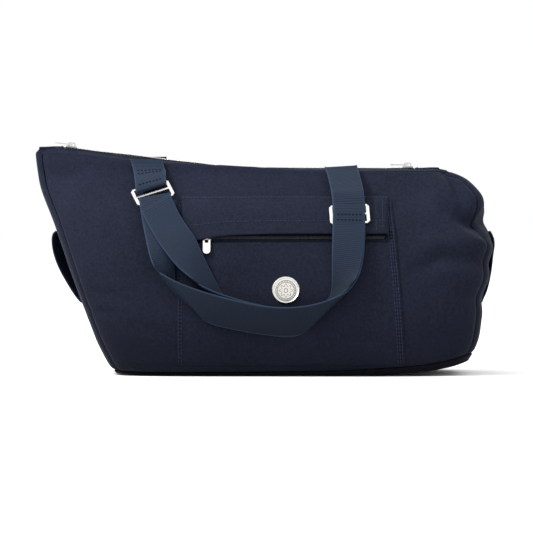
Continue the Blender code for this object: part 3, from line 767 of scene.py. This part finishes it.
def pocket_patch():
    """The patch pocket: slack in the middle, pressed down along its seams, with a slot for its zip."""
    shares = np.linspace(0, 1, 66)
    heights = np.concatenate([np.linspace(POCKET_BOTTOM, SLOT_LOW, 34),
                              np.linspace(SLOT_LOW, SLOT_HIGH, 5)[1:],
                              np.linspace(SLOT_HIGH, POCKET_TOP, 10)[1:]])
    z = np.broadcast_to(heights[:, None], (len(heights), len(shares))).copy()
    right = curve(POCKET_RIGHT, z)
    x = POCKET_LEFT + (right - POCKET_LEFT) * shares
    base, normal = front(x, z, 0.0, smooth=0)
    seam = np.minimum(np.minimum(x - POCKET_LEFT, right - x),
                      np.minimum(z - POCKET_BOTTOM + 6, POCKET_TOP - z + 4))
    slack = ease((seam - 5) / 28)
    off = 2.0 + 1.2 * slack + slack * 1.2 * (0.5 + 0.5 * ripple(base, 95, 13, 2))
    sewn = np.exp(-((seam - 4.2) / 1.5) ** 2)
    off -= 0.55 * sewn
    slot = np.maximum(np.abs(z - (SLOT_LOW + SLOT_HIGH) / 2) - (SLOT_HIGH - SLOT_LOW) / 2, 0)
    off = np.where((x > SLOT_LEFT - 4) & (x < SLOT_RIGHT + 4), off + 0.8 * np.exp(-(slot / 3) ** 2), off)
    keep = ~((z[:-1, :-1] >= SLOT_LOW - 0.1) & (z[:-1, :-1] < SLOT_HIGH - 0.1)
             & (x[:-1, :-1] > SLOT_LEFT) & (x[:-1, 1:] < SLOT_RIGHT))
    piece = cloth("front_pocket_cloth", base + normal * off[..., None], canvas, 1.4, keep=keep)
    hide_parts("front_pocket_panel")

    rows = []
    heights = np.linspace(POCKET_BOTTOM + 3, POCKET_TOP - 3, 60)
    for inset, sides in ((2.4, (-1, 1)), (5.2, (-1, 1)), (8.0, (1,))):
        for side in sides:
            xs = np.full(60, POCKET_LEFT + inset) if side < 0 else curve(POCKET_RIGHT, heights) - inset
            rows.append(front(xs, heights, 2.0, smooth=0))
    xs = np.linspace(POCKET_LEFT + 4, 143, 80)
    rows.append(front(xs, np.full(80, POCKET_TOP - 2.6), 2.3, smooth=0))
    stitches("pocket_stitches", rows, thread)


def storm_band():
    """Flap over the pocket zip: sewn along its top and right end, its lower edge stands off the zip."""
    x = np.linspace(BAND_LEFT, BAND_RIGHT, 64)
    low = curve(BAND_EDGE, x)
    sewn = ease((x - BAND_RIGHT + 4) / 4)       # 1 at the right end, where the band lies down
    rows = []
    for share in np.linspace(0, 1, 16):
        z = low + (POCKET_TOP + 1.2 - low) * share
        stand = 4.2 + 5.4 * (1 - share) ** 0.8 * (1 - sewn) + 0.35 * np.sin(x / 34 + 1) * (1 - share)
        stand = stand - 0.8 * sewn - np.exp(-((share - 1) / 0.05) ** 2)
        hem = 0.3 * math.exp(-((share - 0.09) / 0.07) ** 2)
        rows.append(front(x, z, stand + hem, smooth=0.5)[0])
    grid = np.array(rows)
    piece = cloth("pocket_storm_band_cloth", grid, canvas, 1.2)
    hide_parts("pocket_storm_band")
    up = grid_normals(grid)
    up = np.where(up[..., 1:2] > 0, -up, up)
    paths = [(grid[5] + up[5] * 0.1, up[5]), (grid[14] + up[14] * 0.1, up[14])]
    for column in (-3, -5):
        paths.append((grid[1:15, column] + up[1:15, column] * 0.1, up[1:15, column]))
    stitches("storm_band_stitches", paths, thread)


def pocket_zip():
    """Coil zip in the slot: tape, and a closed chain of coil turns along the straight line of its slider."""
    x = np.linspace(SLOT_LEFT + 2, SLOT_RIGHT - 9, 90)
    lean = (smooth_wall(0, 170.0) - smooth_wall(0, 150.0)) / 20
    out = np.array([0, -1, lean]) / math.hypot(1, lean)
    up = np.array([0, lean, 1]) / math.hypot(1, lean)
    home = np.array([0, smooth_wall(0, POCKET_ZIP_Z), POCKET_ZIP_Z])
    rows = [np.stack([x, 0 * x, 0 * x], -1) + home + up * a + out * 1.3 for a in np.linspace(-9, 10.5, 8)]
    tape = cloth("pocket_zip_tape_cloth", np.array(rows), tape_cloth, 0.7)
    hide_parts("pocket_zip_tape")
    points, faces = [], []
    ring = np.linspace(0, 2 * math.pi, 8, endpoint=False)
    sections = ((-0.3, 0.45), (0.4, 0.62), (1.6, 0.62), (2.2, 0.4))     # distance from the middle, radius
    for way in (-1, 1):
        for k in range(int((x[-1] - x[0]) / COIL_PITCH)):
            base = len(points)
            start = x[0] + COIL_PITCH * k + (COIL_PITCH / 2 if way > 0 else 0)
            for end, thick in sections:
                centre = home + [start, 0, 0] + up * way * end + out * 2.15
                points += [centre + np.array([math.cos(a) * thick, 0, 0]) + out * math.sin(a) * thick * 1.2
                           for a in ring]
            faces += tube(base, len(sections), len(ring))
    coil = make("pocket_zip_coil", points, faces, coil_finish)
    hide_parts("pocket_zip_teeth")


coil_finish = metal("coil", (0.010, 0.011, 0.016), 0.6)
coil_finish.node_tree.nodes["Principled BSDF"].inputs["Metallic"].default_value = 0.0
pocket_patch()
storm_band()
pocket_zip()


# -------- handles

WEB, WEB_THICK = 37.4, 1.9
SEWN_OFF, HANG_OFF = 3.4, 12.2      # from the wall to the rear layer, at the mouth's edge and lower down
LAYER = 2.3                         # from one layer of webbing to the next
BUCKLE_X, BUCKLE_Z = -129.5, 209.5
CUT_Z = 188.5                       # where the lower webbing ends over the right buckle


def hang_off(z):
    """How far the rear layer hangs off the wall at each height."""
    near = SEWN_OFF + (HANG_OFF - SEWN_OFF) * np.clip((242 - z) / 32, 0, 1)
    return near - 2.6 * ease((125 - z) / 60)


def flat_route(points, step=3.0):
    """Points at even steps on a smooth curve through (x, z) places, its directions and distances run."""
    line = np.array(points, float)
    line = np.concatenate([[2 * line[0] - line[1]], line, [2 * line[-1] - line[-2]]])
    t = np.linspace(0, 1, 16, endpoint=False)[:, None]
    dense = []
    for a, b, c, d in zip(line, line[1:], line[2:], line[3:]):
        square, cube = 2 * a - 5 * b + 4 * c - d, 3 * b - a - 3 * c + d
        dense.append(0.5 * (2 * b + (c - a) * t + square * t ** 2 + cube * t ** 3))
    dense = np.concatenate(dense + [line[-2:-1]])
    lengths = lengths_along(dense)
    at = np.linspace(0, lengths[-1], max(int(lengths[-1] / step), 2) + 1)
    places = np.stack([np.interp(at, lengths, dense[:, k]) for k in (0, 1)], -1)
    return places, unit(np.gradient(places, axis=0)), at


def soften(values, at, reach):
    """Rows of a band smoothed along it by a bell curve of the given reach in mm, with both ends held."""
    weights = np.exp(-0.5 * ((at[:, None] - at) / reach) ** 2) * np.gradient(at)
    weights /= weights.sum(1, keepdims=True)
    smooth = np.tensordot(weights, values, 1)
    free = ease(np.minimum(at - at[0], at[-1] - at) / (2 * reach))
    return values + (smooth - values) * free.reshape(-1, *[1] * (values.ndim - 1))


def folded(runs, heights, columns=11, roundness=14.0, lean=0.0):
    """Webbing that runs flat along each route and folds over between one and the next.

    Every row of the band is a straight line across it. At a fold the rows lie along the crease, and away from
    it they turn square to the band. heights are the levels of the runs above the rear layer, as functions of
    x and z. lean tips the band's outer edge forward, most in the second run. Returns grids of x, z, height,
    place across and place along.
    """
    across = np.linspace(-WEB / 2, WEB / 2, columns)
    rows, total, hand = [], 0.0, 1
    routes = [flat_route(run) for run in runs]
    slants = [unit(before[1][-1] + after[1][0]) for before, after in zip(routes, routes[1:])]
    for k, (places, ways, at) in enumerate(routes):
        sides = hand * np.stack([-ways[:, 1], ways[:, 0]], -1)
        skew = np.zeros(len(at))
        for crease, end in ((slants[k - 1] if k else None, 0), (slants[k] if k < len(slants) else None, -1)):
            if crease is None:
                continue
            amount = (crease @ ways[end]) / (crease @ sides[end])
            reach = min(abs(amount) * WEB * 0.95 + 12, at[-1] * 0.48)
            distance = np.abs(at - at[end])
            skew += amount * np.clip(1 - distance / reach, 0, 1) ** 1.25
        for i in range(len(at)):
            flat = places[i] + ways[i] * (skew[i] * across)[:, None] + sides[i] * across[:, None]
            high = heights[k](flat[:, 0], flat[:, 1])
            tip = (0.75 * ease((at[i] - 40) / 80), 1.0, 0.75 * ease(1 - at[i] / 80))[min(k, 2)]
            rows.append((flat, high, np.full(columns, total + at[i]) + skew[i] * across, total + at[i], tip))
        total += at[-1] + 1.5
        hand = -hand
    flat, high, along = (np.array([row[k] for row in rows]) for k in range(3))
    at = np.array([row[3] for row in rows])
    tip = np.array([row[4] for row in rows])[:, None]
    flat = soften(flat, at, roundness)
    for column in range(columns):
        steps = np.maximum(np.linalg.norm(np.diff(flat[:, column], axis=0), axis=1), 0.05)
        flat[:, column] = soften(flat[:, column], np.concatenate([[0], steps.cumsum()]), 8.0)
    high = soften(high, at, 3.5)
    tip = soften(tip, at, roundness) * lean
    middle = flat[:, columns // 2][:, None]
    flat = middle + (flat - middle) * (1 - 1.2 * tip ** 2)[..., None]
    return flat[..., 0], flat[..., 1], high - tip * across, np.broadcast_to(across, high.shape), along


def gathered(shape, line, way):
    """A band whose last column is held to one side of a line (z, x), where it turns edge-on to the viewer.

    way 1 holds the left run to the left of the line, and -1 the right run to the right of it.
    """
    x, z, high, across, along = shape
    zs, xs = zip(*line)
    inside = (z[:, -1] > zs[0]) & (z[:, -1] < zs[-1]) & (way * x[:, x.shape[1] // 2] < 0)
    over = np.maximum(way * (x[:, -1] - np.interp(z[:, -1], zs, xs)), 0) * inside
    over = soften(over[:, None], along[:, along.shape[1] // 2], 5.0)
    share = (across - across[0, 0]) / (across[0, -1] - across[0, 0])
    high = np.maximum(high - 0.7 * over * (share - 0.5), 4.5 - HANG_OFF)
    return x - way * over * share, z, high, across, along


def level(height, bulge=0.0, middle=0.0, half=1.0):
    """A run at an even height, with a smooth bulge round one level of z."""
    return lambda x, z: height + bulge * np.exp(-((z - middle) / half) ** 2) + 0 * x


def hung(x, z, high, side):
    """Points and normals at a height above the rear layer, on the front or mirrored to the back."""
    return [found * [1, side, 1] for found in front(x, z, hang_off(z) + high)]


def band(name, word, side, shape, body, thick=WEB_THICK):
    """Webbing from a folded shape."""
    x, z, high, across, along = shape
    points = hung(x, z, high, side)[0]
    uv = np.stack([across, along], -1)
    piece = cloth(f"{word}_{name}", points, web_cloth, thick, body=body, offset=0.0, uv=uv)
    return piece


# Where the webbing's inner edges hang beside the gap of the loop, as (z, x)
LEFT_GAP = ((78, -42), (93, -48), (131, -68.5), (154, -80), (196, -104))
REAR_GAP = ((84, -103), (134, -103), (150, -100), (172, -90))
RIGHT_GAP = ((80, 76), (140, 76.5), (170, 77.5))


def trimmed(shape, tilt, reach=6):
    """The band with its top end along the mouth's edge, tilted by some degrees."""
    x, z, high, across, along = shape
    z = np.array(z)
    for k in range(reach):
        wanted = z[-1 - k].mean() + across[-1 - k] * math.sin(math.radians(tilt))
        z[-1 - k] += (wanted - z[-1 - k]) * (1 - k / reach)
    return x, z, high, across, along


def handle(word, side):
    """A carrying handle: sewn tab, two layers of webbing folded at the corners, and its upper piece."""
    body = word + "_handle"
    # Rear layer: down from the left buckle, folded forward into the bottom run, folded back up to the right
    rear = folded([((-127, 200), (-121.5, 168), (-114, 138), (-107, 112), (-99, 87)),
                   ((-99, 87), (-80, 80), (-60, 74.5), (-35, 69), (-10, 64), (18, 61.5), (45, 62.5),
                    (74, 69)),
                   ((74, 69), (83, 94), (92.5, 121), (96, 143), (97, 160), (97.5, 180), (95, 205),
                    (88.5, 239))],
                  [level(0.0), level(3 * LAYER), level(0.0)], lean=0.42)
    # Front layer: over the lower bar of the left buckle, and nested inside the same folds
    inner = folded([((-126, 190.5), (-115, 170), (-102, 150), (-82.5, 129), (-62, 102), (-46, 74)),
                    ((-46, 74), (-20, 67), (8, 61.5), (30, 60.5), (50, 62), (70, 68)),
                    ((70, 68), (80, 94), (90.5, 121), (95, 143), (96.3, 163), (96.8, CUT_Z))],
                   [level(LAYER, 1.4, 196, 9), level(2 * LAYER), level(LAYER, 1.4, 186, 11)], lean=0.42)
    rear = gathered(gathered(rear, REAR_GAP, 1), RIGHT_GAP, -1)
    inner = gathered(gathered(inner, LEFT_GAP, 1), RIGHT_GAP, -1)
    upper = folded([((96.8, 181), (95.5, 205), (91.5, 222), (88.5, 232), (88, 238))],
                   [level(LAYER * 0.75, 3.4, 196, 8)])
    rear, upper = trimmed(rear, -4), trimmed(upper, -4)
    pieces = [band("layer_rear", word, side, rear, body), band("layer_front", word, side, inner, body),
              band("webbing_upper", word, side, upper, body, 1.7)]
    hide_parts(word + "_handle_strap")
    tab(word, side, body)
    band_stitches(word + "_webbing_stitches", inner, (-4, -6), WEB_THICK / 2, side, body)


def band_stitches(name, shape, picked, lift, side, body):
    """Stitches across the picked rows of a band."""
    x, z, high = (grid[:, 1:-1] for grid in shape[:3])
    rows = [hung(x[k], z[k], high[k] + lift, side) for k in picked]
    stitches(name, rows, web_thread, body=body, width=1.3, proud=0.4)


def tab(word, side, body):
    """Sewn tab: down over the front of the left buckle, round its middle bar and back up behind."""
    top = np.array([-137.5, 247.0]) if side > 0 else np.array([-134.0, 250.5])
    low = np.array([BUCKLE_X - 2.0, BUCKLE_Z - 0.6])
    tilt = math.radians(18)
    span = np.linalg.norm(top - low)
    steps = [(s, LAYER * 0.62 + 2.0 * ease((s - 0.35) / 0.4)) for s in np.linspace(0, 1, 18)]
    radius = 2.35
    mid = LAYER * 0.62 + 2.0 - radius
    behind = mid - radius
    steps += [(1 + radius / span * math.sin(a), mid + radius * math.cos(a))
              for a in np.linspace(0, math.pi, 9)[1:]]
    steps += [(s, behind + (1.2 - behind) * ease((0.72 - s) / 0.5)) for s in np.linspace(0.97, 0.0, 15)]
    across = np.linspace(-WEB / 2, WEB / 2, 11)
    x, z, high, along, run = [], [], [], [], 0.0
    for k, (share, height) in enumerate(steps):
        turn = tilt * ease((share - 0.25) / 0.6)
        centre = top + (low - top) * share + [1.2 * math.sin(math.pi * share), 0]
        x.append(centre[0] + across * math.cos(turn))
        z.append(centre[1] + across * math.sin(turn))
        high.append(np.full(11, height))
        run += 0 if k == 0 else math.hypot((share - steps[k - 1][0]) * span, height - steps[k - 1][1])
        along.append(np.full(11, run))
    x, z, high, along = (np.array(value) for value in (x, z, high, along))
    shape = (x, z, high, np.broadcast_to(across, x.shape), along)
    piece = band("tab_webbing", word, side, shape, body, 1.7)
    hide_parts(word + "_handle_tab")
    band_stitches(word + "_tab_stitches", shape, (7, 9, 15), 0.9, side, body)


# Stitch thread at 0.3 of the webbing's colour: partly the thread's own darker tone, partly painted shade of the
# sunk stitch rows.
web_thread = fabric("web_thread", scaled(WEB_NAVY, 0.3), 0.0004, roughness=0.55)
for handle_word, handle_side in (("front", 1), ("back", -1)):
    handle(handle_word, handle_side)


# -------- grab handles

def wall_end(z, way):
    """How far the end panel reaches at each height, across the width of a grab handle."""
    reach = []
    for height in z.ravel():
        hits = [WALL_TREE.ray_cast(Vector((way * 400, y, height)), Vector((-way, 0, 0)))[0].x
                for y in (-12, 0, 12)]
        reach.append(way * max(way * hit for hit in hits))
    return np.array(reach).reshape(z.shape)


def grab(name, node, way, bulge, lean):
    """A webbing loop on an end panel, sewn at the top and bottom. lean turns its width towards the front."""
    share = np.linspace(0, 1, 40)[:, None]
    swell = np.sin(math.pi * share ** 0.75) ** 0.7
    z = GRAB_TOP + (GRAB_LOW - GRAB_TOP) * share
    across = np.linspace(-1, 1, 9)
    turn = math.radians(lean) * swell
    stand = 1.3 + bulge * swell - across * GRAB_WIDTH / 2 * np.sin(turn)
    grid = np.zeros((40, 9, 3))
    grid[..., 0] = wall_end(z, way) + way * stand
    grid[..., 1] = across * GRAB_WIDTH / 2 * np.cos(turn)
    grid[..., 2] = z
    steps = lengths_along(grid[:, 4])[:, None]
    uv = np.stack([np.broadcast_to(value, (40, 9)) for value in (across * WEB * 0.475, steps)], -1)
    piece = cloth(name, grid, grab_cloth, 2.2, offset=0.0, uv=uv)
    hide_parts(node)
    rows = [grid[k, 1:-1] + [way * 1.15, 0, 0] for k in (2, 4, -3, -5)]
    paths = [(row, np.full(row.shape, (float(way), 0.0, 0.0))) for row in rows]
    stitches(name + "_stitches", paths, web_thread)


GRAB_TOP, GRAB_LOW, GRAB_WIDTH = 165.0, 82.0, 30.0
grab_cloth = webbing_material("grab_webbing", scaled(WEB_NAVY, 0.8))
grab("left_grab_webbing", "left_grab_handle", -1, 6.0, 25)
grab("right_grab_webbing", "right_grab_handle", 1, 0.2, 2)


# -------- metal, badge and board

BADGE_X, BADGE_Z = 24.0, 98.5


def enamel():
    """White enamel with fine dark rings and an eight-leaved rosette."""
    made = Nodes("enamel", (0.80, 0.78, 0.72), 0.22, Coat_Weight=0.5, Coat_Roughness=0.08)
    body = made.place()
    x = made.math("SUBTRACT", made.split(body)["X"], BADGE_X * MM)
    y = made.math("SUBTRACT", made.split(body)["Z"], BADGE_Z * MM)
    radius = made.times(made.math("POWER", made.weighed(x, x, y, y), 0.5), 1 / MM)
    angle = made.math("ARCTAN2", y, x)

    def line(middle, half):
        """1 within about half of a middle radius in mm, with a soft edge."""
        distance = made.math("ABSOLUTE", made.math("SUBTRACT", radius, middle))
        return made.span(distance, 1.0, 0.0, half * 1.5, half * 1.5 + 0.15)

    leaf = made.math("MULTIPLY_ADD", made.math("COSINE", made.times(angle, 8.0)), 1.3, 6.2)
    rings = made.math("MAXIMUM", line(11.6, 0.18), line(9.4, 0.14))
    rosette = line(leaf, 0.22)
    turns = made.math("COSINE", made.times(angle, 36.0))
    dots = made.times(line(10.5, 0.45), made.span(turns, 0.0, 1.0, 0.2, 0.5))
    core = line(2.2, 0.2)
    ink = made.math("MAXIMUM", made.math("MAXIMUM", rings, rosette), made.math("MAXIMUM", dots, core))
    cloud = made.noise(body, 180.0)
    ground = made.ramp(cloud, (0.38, 0.36, 0.315), (0.43, 0.41, 0.36), (0.35, 0.65))
    made.use(made.mix(made.times(ink, 0.95), ground, (0.03, 0.04, 0.08, 1)), "Base Color")
    made.use(made.span(cloud, 0.16, 0.3), "Roughness")
    made.use(made.bump(ink, 0.0002, 0.6), "Normal")
    return made.material


def board_material():
    made = Nodes("board", (0.10, 0.09, 0.085), 0.75)
    body = made.place()
    grain = made.noise(body, 300.0, 4.0)
    made.use(made.ramp(grain, (0.075, 0.07, 0.065), (0.13, 0.12, 0.11), (0.3, 0.7)), "Base Color")
    made.use(made.span(grain, 0.65, 0.85), "Roughness")
    made.use(made.bump(grain, 0.0002), "Normal")
    return made.material


def dress(node, finish, edge=0.0):
    """A carried-over solid gets its material, and rounded edges."""
    piece = NODES[node]
    for slot in piece.material_slots:
        slot.material = finish
    if edge:
        round_edges(piece, edge, 3, 25)


for metal_word in ("front", "back"):
    for metal_side in ("left", "right"):
        dress(f"{metal_word}_buckle_{metal_side}", nickel, 0.7)
for metal_side in ("left", "right"):
    dress("main_zip_slider_" + metal_side, nickel, 0.35)
    dress("main_zip_pull_" + metal_side, nickel, 0.4)
dress("pocket_zip_slider", nickel, 0.3)
dress("pocket_zip_pull", nickel, 0.4)
dress("badge_bezel", nickel, 0.3)
dress("badge_face", enamel())
dress("base_board", board_material(), 0.6)


# -------- stage

def stage():
    """Plain pale floor."""
    half = 9.5
    floor_mesh = bpy.data.meshes.new("floor")
    corners = [(-half, -half, 0), (half, -half, 0), (half, half, 0), (-half, half, 0)]
    floor_mesh.from_pydata(corners, [], [(0, 1, 2, 3)])
    floor = bpy.data.objects.new("floor", floor_mesh)
    bpy.context.scene.collection.objects.link(floor)
    floor.location.z = -0.0005
    pale = Nodes("studio_floor", (0.72, 0.72, 0.72), 0.9)
    floor_mesh.materials.append(pale.material)


def aimed(name, data, place, target):
    """A lamp or camera at a place, turned to its target."""
    made = bpy.data.objects.new(name, data)
    made.location = place
    made.rotation_euler = (target - place).to_track_quat("-Z", "Y").to_euler()
    bpy.context.scene.collection.objects.link(made)
    return made


def light(name, place, target, size, power):
    """A rectangular area lamp; its size and places are in metres, its power in watts."""
    lamp = bpy.data.lights.new(name, "AREA")
    lamp.shape = "RECTANGLE"
    lamp.size, lamp.size_y = size
    lamp.energy = power
    aimed(name, lamp, Vector(place), Vector(target))


def camera():
    """The eye is almost level with the bag and square to its front."""
    lens, distance, rise = 360.0, 6.22, math.radians(1.2)
    target = Vector((0.0018, 0.0, 0.1236))
    eye = bpy.data.cameras.new("camera")
    eye.lens = lens
    eye.sensor_width = 36
    place = target + Vector((0, -math.cos(rise), math.sin(rise))) * distance
    bpy.context.scene.camera = aimed("camera", eye, place, target)


def world():
    made = bpy.data.worlds.new("studio")
    bpy.context.scene.world = made
    bpy.context.scene.view_settings.view_transform = "Standard"
    made.use_nodes = True
    made.node_tree.nodes["Background"].inputs["Color"].default_value = (1, 1, 1, 1)
    made.node_tree.nodes["Background"].inputs["Strength"].default_value = 1.0


stage()
world()
light("softbox", (0, 0, 3.6), (0, 0, 0), (20, 20), 1150)
light("key", (-1.2, -0.6, 1.5), (0, -0.05, 0.12), (0.5, 0.5), 42)
camera()
